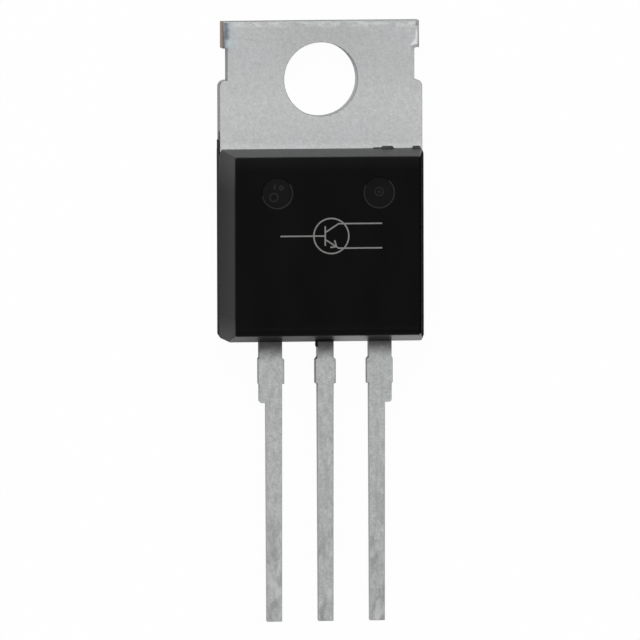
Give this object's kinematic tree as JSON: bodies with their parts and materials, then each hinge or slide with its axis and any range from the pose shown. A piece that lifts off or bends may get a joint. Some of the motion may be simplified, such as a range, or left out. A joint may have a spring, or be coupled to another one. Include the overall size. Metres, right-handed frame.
{
  "type": "power transistor",
  "caption": "Power transistor in a moulded black body with a bare screw-down metal tab and flat leads for a circuit board.",
  "frame": {"origin": "axis of the mounting hole at the tab's bare back face", "axes": "+Z out of the moulded front face, along the mounting hole; +Y to the tab's top edge; the leads point along -Y"},
  "size_m": [0.0102, 0.0295, 0.0044],
  "materials": {
    "tinned_copper": "matte",
    "black_resin": "matte",
    "solder": "satin",
    "silicon": "satin",
    "bond_wire": "satin"
  },
  "bodies": {
    "root": {"heat_tab": "tinned_copper", "moulded_body": "black_resin", "left_lead": "tinned_copper", "right_lead": "tinned_copper", "die_solder": "solder", "chip": "silicon", "control_wire": "bond_wire", "load_wire_inner": "bond_wire", "load_wire_outer": "bond_wire"}
  },
  "joints": []
}
